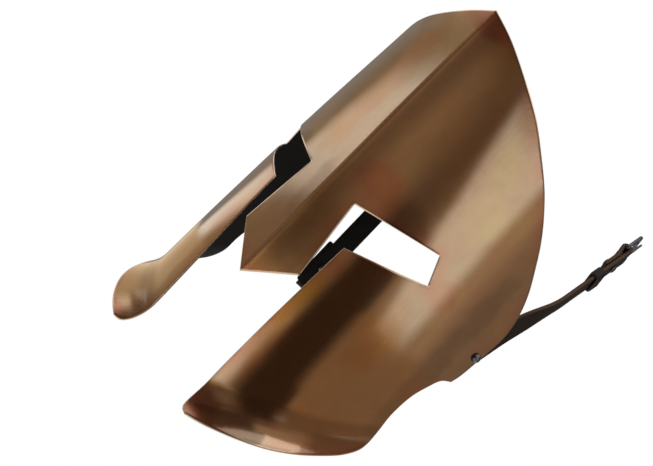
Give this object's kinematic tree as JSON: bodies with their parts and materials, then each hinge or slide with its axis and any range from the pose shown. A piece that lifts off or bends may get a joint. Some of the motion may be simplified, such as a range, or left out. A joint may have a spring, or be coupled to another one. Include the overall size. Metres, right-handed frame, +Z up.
{
  "type": "battle mask",
  "caption": "Face mask bent from one steel sheet with a ridge, eye slots, a nose guard and flared cheek plates, worn with a riveted buckle strap and tongue strap.",
  "frame": {"origin": "midway between the two strap rivets, on the outer face of the sheet, where the head's sides lie", "axes": "+Z up from chin to apex, -Y the way the face looks, +X the wearer's left"},
  "size_m": [0.1926, 0.1948, 0.2787],
  "materials": {
    "coppered_steel": "steel sheet with a polished antique copper-brown finish outside and matt black inside",
    "leather": "black dyed leather with raw brown edges",
    "dark_steel": "blackened steel"
  },
  "bodies": {
    "mask": {"mask_shell": "coppered_steel", "strap_rivet_left": "dark_steel", "strap_rivet_right": "dark_steel", "rivet_burr_left": "dark_steel", "rivet_burr_right": "dark_steel"},
    "left_strap": {"buckle_strap": "leather", "chape_rivet": "dark_steel"},
    "buckle": {"buckle_frame": "dark_steel"},
    "prong": {"buckle_prong": "dark_steel"},
    "keeper": {"keeper_loop": "leather"},
    "right_strap": {"tongue_strap": "leather", "tongue_rivet": "dark_steel"}
  },
  "joints": [
    {"name": "left_strap_swivel", "type": "hinge", "parent": "mask", "child": "left_strap", "pos_m": [0.08843, 0, 0], "axis": [0.9933, -0.0917, 0.0705], "range_deg": [-60, 20]},
    {"name": "right_strap_swivel", "type": "hinge", "parent": "mask", "child": "right_strap", "pos_m": [-0.08843, 0, 0], "axis": [0.9933, 0.0917, -0.0705], "range_deg": [-60, 20]},
    {"name": "buckle_turn", "type": "hinge", "parent": "left_strap", "child": "buckle", "pos_m": [0.06406, 0.07649, 0.10692], "axis": [-0.3374, 0.7005, -0.6289], "range_deg": [-60, 60]},
    {"name": "prong_turn", "type": "hinge", "parent": "buckle", "child": "prong", "pos_m": [0.06406, 0.07649, 0.10692], "axis": [-0.3374, 0.7005, -0.6289], "range_deg": [0, 70]},
    {"name": "keeper_slide", "type": "slide", "parent": "left_strap", "child": "keeper", "axis": [-0.2013, 0.5989, 0.7751], "range_m": [-0.01, 0.006]}
  ]
}
